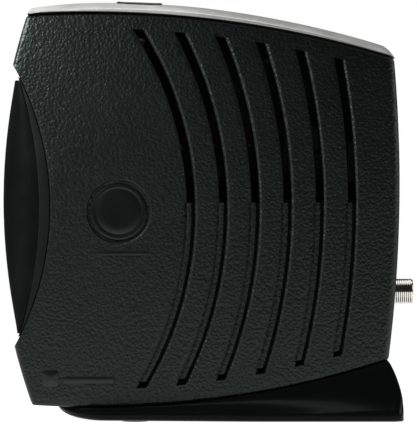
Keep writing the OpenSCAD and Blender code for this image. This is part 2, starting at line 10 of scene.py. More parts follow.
import bmesh
import bpy
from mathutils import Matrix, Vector


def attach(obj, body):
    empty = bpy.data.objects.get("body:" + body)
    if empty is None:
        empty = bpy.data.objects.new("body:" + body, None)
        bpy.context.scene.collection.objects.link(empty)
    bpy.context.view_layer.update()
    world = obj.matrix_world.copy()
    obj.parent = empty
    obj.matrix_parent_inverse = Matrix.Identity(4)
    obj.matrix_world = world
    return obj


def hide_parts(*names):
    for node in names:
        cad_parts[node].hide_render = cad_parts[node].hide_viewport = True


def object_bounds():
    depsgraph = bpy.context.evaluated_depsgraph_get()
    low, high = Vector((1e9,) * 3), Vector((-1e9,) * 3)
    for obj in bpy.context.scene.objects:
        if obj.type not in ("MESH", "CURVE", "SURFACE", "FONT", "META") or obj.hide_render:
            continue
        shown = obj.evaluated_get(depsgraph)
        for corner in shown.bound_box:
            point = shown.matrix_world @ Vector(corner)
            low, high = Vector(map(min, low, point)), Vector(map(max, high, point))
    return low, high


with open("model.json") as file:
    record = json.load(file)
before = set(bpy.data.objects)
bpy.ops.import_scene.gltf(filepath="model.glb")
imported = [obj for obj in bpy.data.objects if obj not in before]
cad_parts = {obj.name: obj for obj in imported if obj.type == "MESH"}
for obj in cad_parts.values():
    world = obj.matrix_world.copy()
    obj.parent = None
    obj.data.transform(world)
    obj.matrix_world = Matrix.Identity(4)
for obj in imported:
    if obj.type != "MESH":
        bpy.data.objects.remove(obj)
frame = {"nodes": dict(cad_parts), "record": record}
CAD_LOW, CAD_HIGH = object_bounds()
NODES = frame["nodes"]
MM = 0.001

# ---------------------------------------------------------------- housing outline
HALF_W = 22.0
WALL = 2.2
DOME_R = 2100.0
DOME_AT = (-4.0, 81.0)
# Each arc of the side view: centre x, centre z, radius, side (1: the housing is inside the
# circle, -1: outside), rounding of the rim
TOP = (-46.0, -250.0, 405.0, 1, 1.2)
FRONT = (149.37, 83.25, 230.0, 1, 1.8)
CUT = (-170.3, 81.5, 110.0, -1, 0.7)
BOTTOM = (-45.0, 370.3, 365.0, 1, 1.3)
BACK = (-464.2, 90.6, 537.0, 1, 3.2)
# The arcs in order round the side view, and how many points each gets
EDGES = (
    (BACK, 40),
    (TOP, 44),
    (FRONT, 8),
    (CUT, 40),
    (FRONT, 8),
    (BOTTOM, 44),
)
# The corner after each of those arcs: a point near it, and its radius
CORNERS = (
    ((70.4, 138.5), 1.6),
    ((-69.2, 154.4), 1.4),
    ((-74.4, 136.0), 0.9),
    ((-74.4, 27.6), 0.9),
    ((-67.3, 6.1), 1.4),
    ((68.9, 24.2), 1.6),
)
BEND_STEPS = 5

# ---------------------------------------------------------------- grooves
# Each groove is an arc that starts level with its centre at VENT_X, and later ones are flatter
VENTS = 6
VENT_X = -4.6
VENT_PITCH = 12.24
VENT_Z = 79.7
VENT_Z_STEP = 0.5
VENT_CURVE = 0.00765
VENT_CURVE_STEP = 0.00087
VENT_TOP_GAP = 5.6
VENT_BOTTOM_GAP = 6.8
SLOT_FOOT_Z = 83.3
POCKET_LEN = 2.8
# Section of a groove as (offset from its rear edge arc, depth): closed by a rib below,
# open above
RIB = (
    (-4.8, -1.2), (-4.8, -0.03), (-4.55, 0.1), (-4.4, 0.62), (-4.1, 0.72), (-3.8, 0.6),
    (-3.3, 0.4), (-2.5, 0.32), (-2.05, 0.45), (-1.85, 0.7), (-0.85, 1.95), (-0.7, 1.9),
    (-0.6, 0.85), (-0.3, 0.48), (0.1, 0.14), (0.45, 0.02), (0.8, -0.03), (0.8, -1.2),
)
SLOT = (
    (-4.1, -1.2), (-3.95, -0.03), (-3.8, 0.04), (-3.68, 0.15), (-3.6, 0.4), (-3.56, 4.0),
    (-3.3, 4.1), (-3.0, 4.1), (-2.4, 4.1), (-1.8, 4.1), (-1.2, 4.1), (-0.72, 4.0), (-0.6, 0.85),
    (-0.3, 0.48), (0.1, 0.14), (0.45, 0.02), (0.8, -0.03), (0.8, -1.2),
)

# ---------------------------------------------------------------- front, trim, stand
# Circles are centre x, centre z, radius: the lens's nose and the bezel's front edge
NOSE = (146.6, 84.0, 226.0)
BAND = (-223.7, 81.5, 159.0)
LENS_Z = (33.4, 129.7)
LENS_HALF_W = 19.9
LENS_SEAM = 0.1
BAND_DROP = 0.9
WINDOWS = 6
WINDOW_Z = 52.0
WINDOW_PITCH = 12.0
TRIM_SWEEP = (-39.6, -198.6, 359.0)
TRIM_HALF_W = 21.7
TRIM_CROWN = 3.6
TRIM_GAP = 0.85
TRIM_LIFT = 0.12
TRIM_X = (-68.9, 70.6)
BUTTON_X = -26.7
BUTTON_LEN = 17.6
BUTTON_W = 24.0
BUTTON_CORNER = 5.0
BUTTON_RISE = 0.55
BADGE_AT = (-34.3, 79.7)
CABLE_Z = 49.0
FOOT_Z = 0.6
STAND_X = (-58.1, 73.98)
STAND_HALF_W = 28.5
SCREWS_UP = ((-20.0, -8.0), (38.0, 13.0))


# ================================================================ mesh helpers
def new_piece(name, verts, faces, body="housing", sharp=32.0):
    """A mesh object from points in millimetres, closed faces turned outwards, smooth between
    faces that meet below the sharp angle."""
    mesh = bpy.data.meshes.new(name)
    mesh.from_pydata([(x * MM, y * MM, z * MM) for x, y, z in verts], [], faces)
    mesh.update()
    obj = bpy.data.objects.new(name, mesh)
    bpy.context.scene.collection.objects.link(obj)
    tidy_mesh(obj, sharp)
    if body:
        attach(obj, body)
    return obj


def tidy_mesh(obj, sharp=32.0):
    """Merges doubled points, turns faces outwards and marks sharp edges."""
    bm = bmesh.new()
    bm.from_mesh(obj.data)
    bmesh.ops.remove_doubles(bm, verts=bm.verts, dist=1e-7)
    bmesh.ops.recalc_face_normals(bm, faces=bm.faces)
    bm.to_mesh(obj.data)
    bm.free()
    obj.data.shade_smooth()
    obj.data.set_sharp_from_angle(angle=math.radians(sharp))


def carve(obj, cutters, sharp=32.0):
    """Takes the cutters' volume away from obj for good."""
    for cutter in cutters:
        mod = obj.modifiers.new("carve", "BOOLEAN")
        mod.operation = "DIFFERENCE"
        mod.solver = "EXACT"
        mod.object = cutter
    graph = bpy.context.evaluated_depsgraph_get()
    mesh = bpy.data.meshes.new_from_object(obj.evaluated_get(graph))
    obj.modifiers.clear()
    old = obj.data
    obj.data = mesh
    bpy.data.meshes.remove(old)
    for cutter in cutters:
        bpy.data.objects.remove(cutter)
    tidy_mesh(obj, sharp)


def join(name, pieces):
    """One object holding the meshes of several."""
    bm = bmesh.new()
    for piece in pieces:
        bm.from_mesh(piece.data)
    mesh = bpy.data.meshes.new(name)
    bm.to_mesh(mesh)
    bm.free()
    for piece in pieces:
        bpy.data.objects.remove(piece)
    obj = bpy.data.objects.new(name, mesh)
    bpy.context.scene.collection.objects.link(obj)
    return obj


def rings_to_mesh(rings, capped=True):
    """Points and faces of a skin over closed rings of equal count."""
    n = len(rings[0])
    verts = [p for ring in rings for p in ring]
    faces = []
    for i in range(len(rings) - 1):
        for j in range(n):
            a, b = i * n + j, i * n + (j + 1) % n
            faces.append((a, b, b + n, a + n))
    if capped:
        faces.append(tuple(range(n)))
        faces.append(tuple(range((len(rings) - 1) * n, len(rings) * n)))
    return verts, faces


def box_mesh(lo, hi):
    """Points and faces of a cutting block."""
    corners = ((lo[0], lo[1]), (hi[0], lo[1]), (hi[0], hi[1]), (lo[0], hi[1]))
    return rings_to_mesh([[(x, y, z) for x, y in corners] for z in (lo[2], hi[2])])


def turned_faces(steps, n, closed):
    """Faces between rows of n points that stand once round an axis. A closed row joins its
    last point to its first, and an open one gets a cap at each end."""
    faces = []
    for k in range(steps):
        m = (k + 1) % steps
        for j in range(n if closed else n - 1):
            i = (j + 1) % n
            faces.append((k * n + j, k * n + i, m * n + i, m * n + j))
    if not closed:
        faces.append(tuple(k * n for k in range(steps)))
        faces.append(tuple(k * n + n - 1 for k in range(steps)))
    return faces


def lathe(name, profile, place, steps=48, body="housing", closed=False):
    """Turns (radius, height) points about an axis: place maps (u, v, height) into the frame."""
    verts = []
    for k in range(steps):
        a = 2 * math.pi * k / steps
        verts += [place(r * math.cos(a), r * math.sin(a), h) for r, h in profile]
    return new_piece(name, verts, turned_faces(steps, len(profile), closed), body)


def lerp(a, b, t):
    """The value a part t of the way from a to b."""
    return a + (b - a) * t


def spread(a, b, count):
    """count values from a to b."""
    return [lerp(a, b, k / (count - 1)) for k in range(count)]


def eased(a, b, count):
    """count values from a to b, closer together at both ends."""
    return [lerp(a, b, 0.5 - 0.5 * math.cos(math.pi * k / (count - 1))) for k in range(count)]


# ================================================================ outline maths
def dome(x, z):
    """Half thickness of the housing at a point of its side view."""
    return HALF_W - ((x - DOME_AT[0]) ** 2 + (z - DOME_AT[1]) ** 2) / (2 * DOME_R)


def circle_x(circle, z, side):
    """Where a circle passes height z, on its +X side (1) or its -X side (-1)."""
    return circle[0] + side * math.sqrt(circle[2] ** 2 - (z - circle[1]) ** 2)


def circle_z(circle, x, side):
    """Where a circle passes x, on its upper side (1) or its lower side (-1)."""
    return circle[1] + side * math.sqrt(circle[2] ** 2 - (x - circle[0]) ** 2)


def meet(c1, r1, c2, r2, near):
    """The crossing of two circles that lies nearer to a point."""
    dx, dz = c2[0] - c1[0], c2[1] - c1[1]
    d = math.hypot(dx, dz)
    a = (d * d + r1 * r1 - r2 * r2) / (2 * d)
    h = math.sqrt(max(0.0, r1 * r1 - a * a))
    ux, uz = dx / d, dz / d
    both = [(c1[0] + a * ux - s * h * uz, c1[1] + a * uz + s * h * ux) for s in (-1, 1)]
    return min(both, key=lambda p: math.hypot(p[0] - near[0], p[1] - near[1]))


def arc(centre, start, end, count, ends=True):
    """Points from start to end about centre, the short way round."""
    r0, r1 = math.dist(centre, start), math.dist(centre, end)
    a0 = math.atan2(start[1] - centre[1], start[0] - centre[0])
    a1 = math.atan2(end[1] - centre[1], end[0] - centre[0])
    turn = (a1 - a0 + math.pi) % (2 * math.pi) - math.pi
    pts = []
    for k in range(count):
        t = k / (count - 1) if ends else (k + 1) / (count + 1)
        r, a = lerp(r0, r1, t), a0 + turn * t
        pts.append((centre[0] + r * math.cos(a), centre[1] + r * math.sin(a)))
    return pts


def outline(inset):
    """The side view of a shell drawn in by inset(edge), as (x, z, rim rounding) points."""
    count = len(EDGES)
    radii = [e[2] - e[3] * inset(e) for e, _ in EDGES]
    bends = []
    for k in range(count):
        one, two = EDGES[k][0], EDGES[(k + 1) % count][0]
        near, r = CORNERS[k]
        r1, r2 = radii[k], radii[(k + 1) % count]
        at = meet(one[:2], r1 - one[3] * r, two[:2], r2 - two[3] * r, near)
        tangents = []
        for c, rr in ((one, r1), (two, r2)):
            d = math.dist(c[:2], at)
            tangents.append((c[0] + (at[0] - c[0]) * rr / d, c[1] + (at[1] - c[1]) * rr / d))
        bends.append((at, tangents[0], tangents[1]))
    pts = []
    for k, (edge, steps) in enumerate(EDGES):
        start, end = bends[k - 1][2], bends[k][1]
        pts += [(x, z, edge[4]) for x, z in arc(edge[:2], start, end, steps)]
        after = EDGES[(k + 1) % count][0]
        for m, (x, z) in enumerate(arc(*bends[k], BEND_STEPS, ends=False)):
            pts.append((x, z, lerp(edge[4], after[4], (m + 1) / (BEND_STEPS + 1))))
    return pts


# ================================================================ side shells
SEAM_CHAMFER = 0.3
SEAM_DEPTH = 0.28
RIM_STEPS = 6
INSIDE_STEPS = 14
OUTSIDE_STEPS = 26
GROOVE_LEN = 80
GROOVE_BLEND = 0.25
GROOVE_REST = 0.02
RIB_ROWS = 34
SLOT_ROWS = 30
# Half widths of the openings for the lens and the back panel
LENS_OPENING = 17.4
BACK_OPENING = 16.0
# The ring sunk round the badge, as (radius, depth)
BADGE_WELL = (
    (11.5, 0.95), (11.85, 0.85), (12.05, 0.6), (12.2, 0.15), (12.4, 0.0), (12.7, -0.03),
    (12.7, -1.5),
)
BUTTON_HOLE_GAP = 0.4


def dome_fill(ring, side, thin, steps):
    """Rings that carry a boundary ring inwards over the domed face."""
    rings = []
    for k in range(1, steps):
        f = 1 - k / steps
        rings.append([])
        for x, z in ring:
            px, pz = DOME_AT[0] + (x - DOME_AT[0]) * f, DOME_AT[1] + (z - DOME_AT[1]) * f
            rings[-1].append((px, side * (dome(px, pz) - thin), pz))
    return rings


def shell_base(name, side):
    """One closed hollow half of the housing, before anything is cut into it."""
    inner_face = [(x, z) for x, z, _ in outline(lambda e: WALL)]
    rings = list(reversed(dome_fill(inner_face, side, WALL, INSIDE_STEPS)))
    rings.append([(x, side * (dome(x, z) - WALL), z) for x, z in inner_face])
    rings.append([(x, 0.0, z) for x, z in inner_face])
    rings.append([(x, 0.0, z) for x, z, _ in outline(lambda e: SEAM_CHAMFER)])
    rings.append([(x, side * SEAM_DEPTH, z) for x, z, _ in outline(lambda e: 0.0)])
    for k in range(RIM_STEPS + 1):
        t = math.pi / 2 * k / RIM_STEPS
        edge = outline(lambda e: e[4] * (1 - math.cos(t)))
        rings.append([(x, side * (dome(x, z) - rho * (1 - math.sin(t))), z) for x, z, rho in edge])
    rings += dome_fill([(x, z) for x, z, _ in edge], side, 0.0, OUTSIDE_STEPS)
    verts, faces = rings_to_mesh(rings, capped=False)
    n = len(rings[0])
    for base, depth in ((0, dome(*DOME_AT) - WALL), (len(verts) - n, dome(*DOME_AT))):
        verts.append((DOME_AT[0], side * depth, DOME_AT[1]))
        faces += [(base + j, base + (j + 1) % n, len(verts) - 1) for j in range(n)]
    return new_piece(name, verts, faces, None)


def groove_cutter(i, side):
    """The volume of groove i: a ribbed groove below, an open slot above and at its foot.
    Along it, part runs from 0 at the bottom to 1 at the slot's foot and 2 at the top."""
    x = VENT_X + i * VENT_PITCH
    r = 1 / (VENT_CURVE - i * VENT_CURVE_STEP)
    cx, cz = x - r, VENT_Z + i * VENT_Z_STEP

    def limit(offset, circle, gap, near_z):
        px, pz = meet((cx, cz), r + offset, circle[:2], circle[2] - gap, (x, near_z))
        return math.atan2(pz - cz, px - cx)

    def angle(offset, part):
        low = limit(offset, BOTTOM, VENT_BOTTOM_GAP, CAD_LOW[2] / MM)
        foot = math.asin((SLOT_FOOT_Z - cz) / (r + offset))
        high = limit(offset, TOP, VENT_TOP_GAP, CAD_HIGH[2] / MM)
        return lerp(low, foot, part) if part <= 1 else lerp(foot, high, part - 1)

    pocket = POCKET_LEN / GROOVE_LEN
    soft = GROOVE_BLEND / GROOVE_LEN
    rows = [(0.0, SLOT), (pocket * 0.5, SLOT), (pocket - soft, SLOT), (pocket + soft, RIB)]
    rows += [(p, RIB) for p in spread(pocket + GROOVE_REST, 1 - GROOVE_REST, RIB_ROWS)]
    rows += [(1 - soft, RIB), (1 + soft, SLOT)]
    rows += [(p, SLOT) for p in spread(1 + GROOVE_REST, 2.0, SLOT_ROWS)]
    rings = []
    for part, section in rows:
        ring = []
        for offset, depth in section:
            a = angle(offset, part)
            px, pz = cx + (r + offset) * math.cos(a), cz + (r + offset) * math.sin(a)
            ring.append((px, side * (dome(px, pz) - depth), pz))
        rings.append(ring)
    return new_piece("cutter", *rings_to_mesh(rings), body=None)


def on_side(side, at):
    """Places (u, v, height) with height measured in from the side face."""
    y = dome(*at)
    return lambda u, v, h: (at[0] + u, side * (y - h), at[1] + v)


def side_shell(name, side, node):
    """One side of the housing, with its grooves and its half of each opening."""
    shell = shell_base(name, side)
    cutters = [groove_cutter(i, side) for i in range(VENTS)]
    if side < 0:
        cutters.append(lathe("cutter", BADGE_WELL, on_side(side, BADGE_AT), 72, None))
    for half_w, (x0, x1), (z0, z1) in ((LENS_OPENING, (-90, -50), (36.5, 126.5)),
                                       (BACK_OPENING, (60, 80), (30, 136))):
        y0, y1 = (-half_w, 1.0) if side < 0 else (-1.0, half_w)
        cutters.append(new_piece("cutter", *box_mesh((x0, y0, z0), (x1, y1, z1)), body=None))
    carve(shell, [join("cutter", cutters)])
    half_l, half_w = BUTTON_LEN / 2 + BUTTON_HOLE_GAP, BUTTON_W / 2 + BUTTON_HOLE_GAP
    hole = box_mesh((BUTTON_X - half_l, -half_w, 140), (BUTTON_X + half_l, half_w, 165))
    carve(shell, [new_piece("cutter", *hole, body=None)])
    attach(shell, "housing")
    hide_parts(node)
    return shell


# ================================================================ raised blanks
BAR_HEIGHT = 0.32
BAR_SUNK = 0.3
BAR_CORNER_STEPS = 6


def rounded_bar(name, at, size, radius):
    """A low bar with rounded corners and a rolled edge, standing on the left side's face."""
    half = (size[0] / 2, size[1] / 2)

    def ring(inset, depth):
        pts = []
        r = max(radius - inset, 0.05)
        for sx, sz, a0 in ((1, 1, 0), (-1, 1, 90), (-1, -1, 180), (1, -1, 270)):
            for k in range(BAR_CORNER_STEPS + 1):
                a = math.radians(a0 + 90 * k / BAR_CORNER_STEPS)
                px = at[0] + sx * (half[0] - inset - r) + r * math.cos(a)
                pz = at[1] + sz * (half[1] - inset - r) + r * math.sin(a)
                pts.append((px, -(dome(px, pz) - depth), pz))
        return pts

    rolled = [(0.0, BAR_SUNK), (0.0, -BAR_HEIGHT * 0.4), (BAR_HEIGHT * 0.25, -BAR_HEIGHT * 0.8),
              (BAR_HEIGHT * 0.7, -BAR_HEIGHT)]
    rings = [ring(inset, depth) for inset, depth in rolled]
    rings.append(ring(min(half) - 0.1, -BAR_HEIGHT))
    return new_piece(name, *rings_to_mesh(rings))


# ================================================================ front
LENS_WALL = 2.2
LENS_BOW = 0.9
LENS_ARC = 88
LENS_STEPS = 32
LENS_INNER_STEPS = 16
WINDOW_HALF = (2.75, 1.15)
WINDOW_FLARE = (3.1, 1.5)
WINDOW_END_POINTS = 7
BEZEL_REACH = 49.3
BEZEL_OPENING = 45.5
BEZEL_GAP = 0.22
BEZEL_TONGUE = 2.4
BEZEL_ROLL = 0.4
BEZEL_CHAMFER = 0.15
TUCK_GAP = 0.3


def lens_depth(z):
    """Band edge and nose of the lens at height z."""
    return circle_x(BAND, z, 1) - LENS_SEAM, circle_x(NOSE, z, -1)


def smoked_lens():
    """The bowed hollow lens, with a row of small lamp windows."""
    rings = []
    for z in eased(*LENS_Z, 64):
        x, nose = lens_depth(z)
        deep = x - nose
        inner = max(deep - LENS_WALL, 0.15)
        half, inner_half = LENS_HALF_W, LENS_HALF_W - LENS_WALL
        ring = [(x, -half, z)]
        for k in range(LENS_STEPS + 1):
            a = math.radians(-LENS_ARC + 2 * LENS_ARC * k / LENS_STEPS)
            ring.append((x - deep * math.cos(a) ** LENS_BOW, half * math.sin(a), z))
        ring.append((x, half, z))
        for k in range(LENS_INNER_STEPS + 1):
            a = math.radians(LENS_ARC - 2 * LENS_ARC * k / LENS_INNER_STEPS)
            ring.append((x - inner * math.cos(a) ** LENS_BOW, inner_half * math.sin(a), z))
        rings.append(ring)
    lens = new_piece("smoked_lens", *rings_to_mesh(rings))
    window = stadium(*WINDOW_HALF, WINDOW_END_POINTS)
    flare = stadium(*WINDOW_FLARE, WINDOW_END_POINTS)
    cutters = []
    for i in range(WINDOWS):
        z = WINDOW_Z + i * WINDOW_PITCH
        nose = lens_depth(z)[1]
        rings = [[(nose + depth, u, z + v) for u, v in shape]
                 for depth, shape in ((6, window), (0.5, window), (-0.6, flare))]
        cutters.append(new_piece("cutter", *rings_to_mesh(rings), body=None))
    carve(lens, [join("cutter", cutters)])
    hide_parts("front_lens")
    return lens


def button_ring(grow):
    """The button's rounded outline, grown all round, with points along its straight sides."""
    r = BUTTON_CORNER + grow
    span = (BUTTON_LEN / 2 + grow - r, BUTTON_W / 2 + grow - r)
    pts = []
    for sx, sy, a0 in ((1, 1, 0), (-1, 1, 90), (-1, -1, 180), (1, -1, 270)):
        for k in range(9):
            a = math.radians(a0 + 11.25 * k)
            pts.append((sx * span[0] + r * math.cos(a), sy * span[1] + r * math.sin(a)))
        side = pts[-1]
        nx, ny = (-sx * span[0], side[1]) if a0 in (0, 180) else (side[0], -sy * span[1])
        pts += [(lerp(side[0], nx, t), lerp(side[1], ny, t)) for t in (0.2, 0.4, 0.6, 0.8)]
    return pts


def stadium(half_l, half_w, steps):
    """A long rounded outline centred on the origin."""
    pts = []
    for sign, a0 in ((1, -90), (-1, 90)):
        for k in range(steps):
            a = math.radians(a0 + 180 * k / (steps - 1))
            pts.append((sign * (half_l - half_w) + half_w * math.cos(a), half_w * math.sin(a)))
    return pts


def bezel_frame():
    """The band beside the lens, with a step that goes in behind the shells."""
    rings = []
    for z in eased(CUT[1] - BEZEL_REACH, CUT[1] + BEZEL_REACH, 60):
        front, back = circle_x(BAND, z, 1), circle_x(CUT, z, 1) - BEZEL_GAP
        y = dome(back, z) - BAND_DROP
        tuck = min(y, dome(back, z) - WALL - TUCK_GAP)
        soft = min(BEZEL_ROLL, (back - front) * 0.3)
        half = [(back + BEZEL_TONGUE, tuck), (back, tuck),
                (back, y - BEZEL_CHAMFER), (back - BEZEL_CHAMFER, y),
                (front + soft, y), (front + soft * 0.3, y - soft * 0.3), (front, y - soft)]
        ring = [(px, -py, z) for px, py in half] + [(px, py, z) for px, py in reversed(half)]
        rings.append(ring)
    bezel = new_piece("bezel_frame", *rings_to_mesh(rings))
    opening = box_mesh((-95, -LENS_OPENING, CUT[1] - BEZEL_OPENING),
                       (-45, LENS_OPENING, CUT[1] + BEZEL_OPENING))
    carve(bezel, [new_piece("cutter", *opening, body=None)])
    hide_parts("front_bezel")
    return bezel


# ================================================================ trim and button
CROSS_R = (TRIM_HALF_W**2 + TRIM_CROWN**2) / (2 * TRIM_CROWN)
FRONT_DROOP_FROM = -43
FRONT_DROOP = 0.0015
BACK_DROOP_FROM = -5
BACK_DROOP_LEN = 35
BACK_DROOP = 0.28
FRONT_TAPER = 0.8
BACK_TAPER = 4.6
TRIM_ROLL = 0.5
TRIM_SHARP = 40
SEAT_INSET = 4.5


def crown_z(x, y):
    """Height of the trim's top surface: a crowned sweep that droops a little towards its ends."""
    drop = CROSS_R - math.sqrt(max(0.0, CROSS_R**2 - y * y))
    r = TRIM_SWEEP[2] - drop
    front = FRONT_DROOP * max(0.0, FRONT_DROOP_FROM - x) ** 2
    back = BACK_DROOP * min(1.0, max(0.0, (x - BACK_DROOP_FROM) / BACK_DROOP_LEN))
    return TRIM_SWEEP[1] + math.sqrt(r * r - (x - TRIM_SWEEP[0]) ** 2) - (front + back)


def trim_floor(x):
    """Height just above the shells' top edge, where the trim and its seat stand."""
    return circle_z((TOP[0], TOP[1], TOP[2] + TRIM_LIFT), x, 1)


def top_trim():
    """The bright strip along the top, with rolled edges, tapered ends and the button's hole."""
    start, end = TRIM_X
    xs = [start + d for d in (0, 0.1, 0.3, 0.6, 1.0, 1.6)]
    xs += spread(start + 3, end - 6, 56)
    xs += [end - d for d in (4.6, 3.8, 3.0, 2.3, 1.7, 1.2, 0.8, 0.45, 0.2, 0.06, 0)]
    shoulder = TRIM_HALF_W - TRIM_ROLL
    half_ys = [0, 3, 6, 9, 12, 14.5, 17, 19, TRIM_HALF_W - 1.4, shoulder]
    rings = []
    for x in xs:
        front_end = min(1.0, (x - start) / FRONT_TAPER)
        back_end = min(1.0, (end - x) / BACK_TAPER)
        size = math.sqrt(1 - (1 - front_end) ** 2) * math.sqrt(1 - (1 - back_end) ** 2)
        size = max(size, 0.02)
        base = trim_floor(x) + TRIM_GAP * min(1.0, size * 1.5)

        def height(y):
            return base + (crown_z(x, y) - base) * size

        half = [(y, height(y)) for y in half_ys]
        soft = min(TRIM_ROLL, 0.45 * (height(TRIM_HALF_W) - base)) * max(size, 0.1)
        for k in (1, 2, 3):
            a = math.radians(30 * k)
            half.append((shoulder + TRIM_ROLL * math.sin(a),
                         height(shoulder) - soft * (1 - math.cos(a))))
        half += [(TRIM_HALF_W, base + 0.16 * size), (TRIM_HALF_W - 0.12, base + 0.04 * size),
                 (TRIM_HALF_W - 0.3, base), (TRIM_HALF_W - 3, base)]
        ring = [(x, -y, z) for y, z in reversed(half)] + [(x, y, z) for y, z in half[1:]]
        rings.append(ring)
    trim = new_piece("trim_strip", *rings_to_mesh(rings), sharp=TRIM_SHARP)
    low, high = button_ring(0.22), button_ring(0.6)
    rings = [[(BUTTON_X + u, v, 150) for u, v in low]]
    for edge, drop in ((low, 0.4), (high, -0.05), (high, -3)):
        rings.append([(BUTTON_X + u, v, crown_z(BUTTON_X + u, v) - drop) for u, v in edge])
    carve(trim, [new_piece("cutter", *rings_to_mesh(rings), body=None)], sharp=TRIM_SHARP)
    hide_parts("top_trim")
    return trim


def trim_seat():
    """The dark foot that holds the trim clear of the shells."""
    start, end = TRIM_X
    xs = [start + 0.6, start + 1.2] + spread(start + 3, end - 3, 50) + [end - 2.2, end - 1.7]
    y = TRIM_HALF_W - SEAT_INSET
    rings = []
    for x in xs:
        low = trim_floor(x)
        half = [(y - 0.2, low), (y, low + 0.2), (y, low + TRIM_GAP + 0.15)]
        rings.append([(x, -py, z) for py, z in half] + [(x, py, z) for py, z in reversed(half)])
    seat = new_piece("trim_seat", *rings_to_mesh(rings))
    hole = [[(BUTTON_X + u, v, z) for u, v in button_ring(BUTTON_HOLE_GAP)] for z in (140, 165)]
    carve(seat, [new_piece("cutter", *rings_to_mesh(hole), body=None)])
    return seat


FLANGE_Z = 151.6
BUTTON_ROLL = 0.7
BUTTON_ROLL_STEPS = 5
DISH = 0.15
DISH_LEN = 3.0
DISH_INSET = 4.9
STEM_R = 1.8
STEM_Y = 3.4
STEM_FOOT_Z = 146.85


def cap_ring(inset, drop, shrink=1.0):
    """A ring of the button's top, drop below its crown and shrunk towards its middle."""
    ring = []
    for u, v in button_ring(-inset):
        x, y = BUTTON_X + u * shrink, v * shrink
        ring.append((x, y, crown_z(x, y) + BUTTON_RISE - drop))
    return ring


def standby_cap():
    """The button: a long rounded cap with a rolled edge, a flange under the shell and a stem."""
    rings = []
    for grow, drop in ((0.9, 1.3), (0.9, 0.1), (0.8, 0), (0, 0)):
        rings.append([(BUTTON_X + u, v, FLANGE_Z - drop) for u, v in button_ring(grow)])
    for k in range(BUTTON_ROLL_STEPS + 1):
        a = math.pi / 2 * k / BUTTON_ROLL_STEPS
        rings.append(cap_ring(BUTTON_ROLL * (1 - math.cos(a)), BUTTON_ROLL * (1 - math.sin(a))))
    for inset in (1.4, 2.2, 3.2, 4.2, DISH_INSET):
        part = min(1.0, (inset - BUTTON_ROLL) / DISH_LEN)
        rings.append(cap_ring(inset, DISH * math.sin(part * math.pi / 2)))
    for shrink in (0.75, 0.5, 0.25, 0.04):
        rings.append(cap_ring(DISH_INSET, DISH, shrink))
    cap = new_piece("cap", *rings_to_mesh(rings), body=None)
    stem = lathe("stem", ((STEM_R, STEM_FOOT_Z), (STEM_R, FLANGE_Z - 1.2)),
                 lambda u, v, h: (BUTTON_X + u, STEM_Y + v, h), 24, None)
    button = join("standby_cap", [cap, stem])
    tidy_mesh(button)
    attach(button, "standby_key")
    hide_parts("standby_button")
    return button


# ================================================================ stand
# The front is bowed in plan by BOW_R and its underside lifts; the back has rounded corners
BOW_R = 32.0
BOW_X = -58.2
BOW_END = -41.0
BOW_LEN = 17.5
BOW_LIFT = 5.0
BACK_X = 74.0
CORNER_R = 5.0
BACK_BOW = (34.0, 2.6, 40.0)
STAND_WALL = 2.2
SEAM_GAP = 0.25
BACK_FOOT_Z = 0.15
FOOT_SLOPE_LEN = 60
BAND_TALL = 3.4
BAND_PART = 0.68
FLANK_STEPS = 15
FLANK_INSET = 0.12
FOOT_ROLL = 2.2
STAND_SHARP = 28
SEAM_INSET = 0.9
SEAM_PART = 0.93
HOLLOW_FLOOR = -1.0
# Posts round the two screws that come up from below
POST_R = 4.4
POST_HOLE_R = 3.2
POST_SCREW_R = 1.6
POST_STEP = 1.4
POST_SEAT = 3.0


def stand_half(x):
    """Half width of the foot: bowed at the front, with round corners at the back."""
    if x < BOW_X + BOW_R:
        reach = BOW_R**2 - (BOW_X + BOW_R - x) ** 2
        return min(STAND_HALF_W, math.sqrt(max(0.01, reach)))
    if x > BACK_X - CORNER_R:
        reach = CORNER_R**2 - (x - BACK_X + CORNER_R) ** 2
        return STAND_HALF_W - CORNER_R + math.sqrt(max(0.0, reach))
    return STAND_HALF_W


def stand_low(x):
    """Height of the underside, which lifts towards the front."""
    if x > BOW_END:
        return lerp(FOOT_Z, BACK_FOOT_Z, min(1.0, (x - BOW_END) / FOOT_SLOPE_LEN))
    return FOOT_Z + BOW_LIFT * (1 - math.sqrt(1 - ((BOW_END - x) / BOW_LEN) ** 2))


def stand_seam(x):
    """Height of the joint with the housing."""
    return circle_z(BOTTOM, x, -1) - SEAM_GAP


def stand_high(x):
    """Height of the top: the joint, or the round fall behind the housing."""
    reach = BACK_BOW[2] ** 2 - max(0.0, x - BACK_BOW[0]) ** 2
    return min(stand_seam(x), BACK_BOW[1] + math.sqrt(max(0.0, reach)))


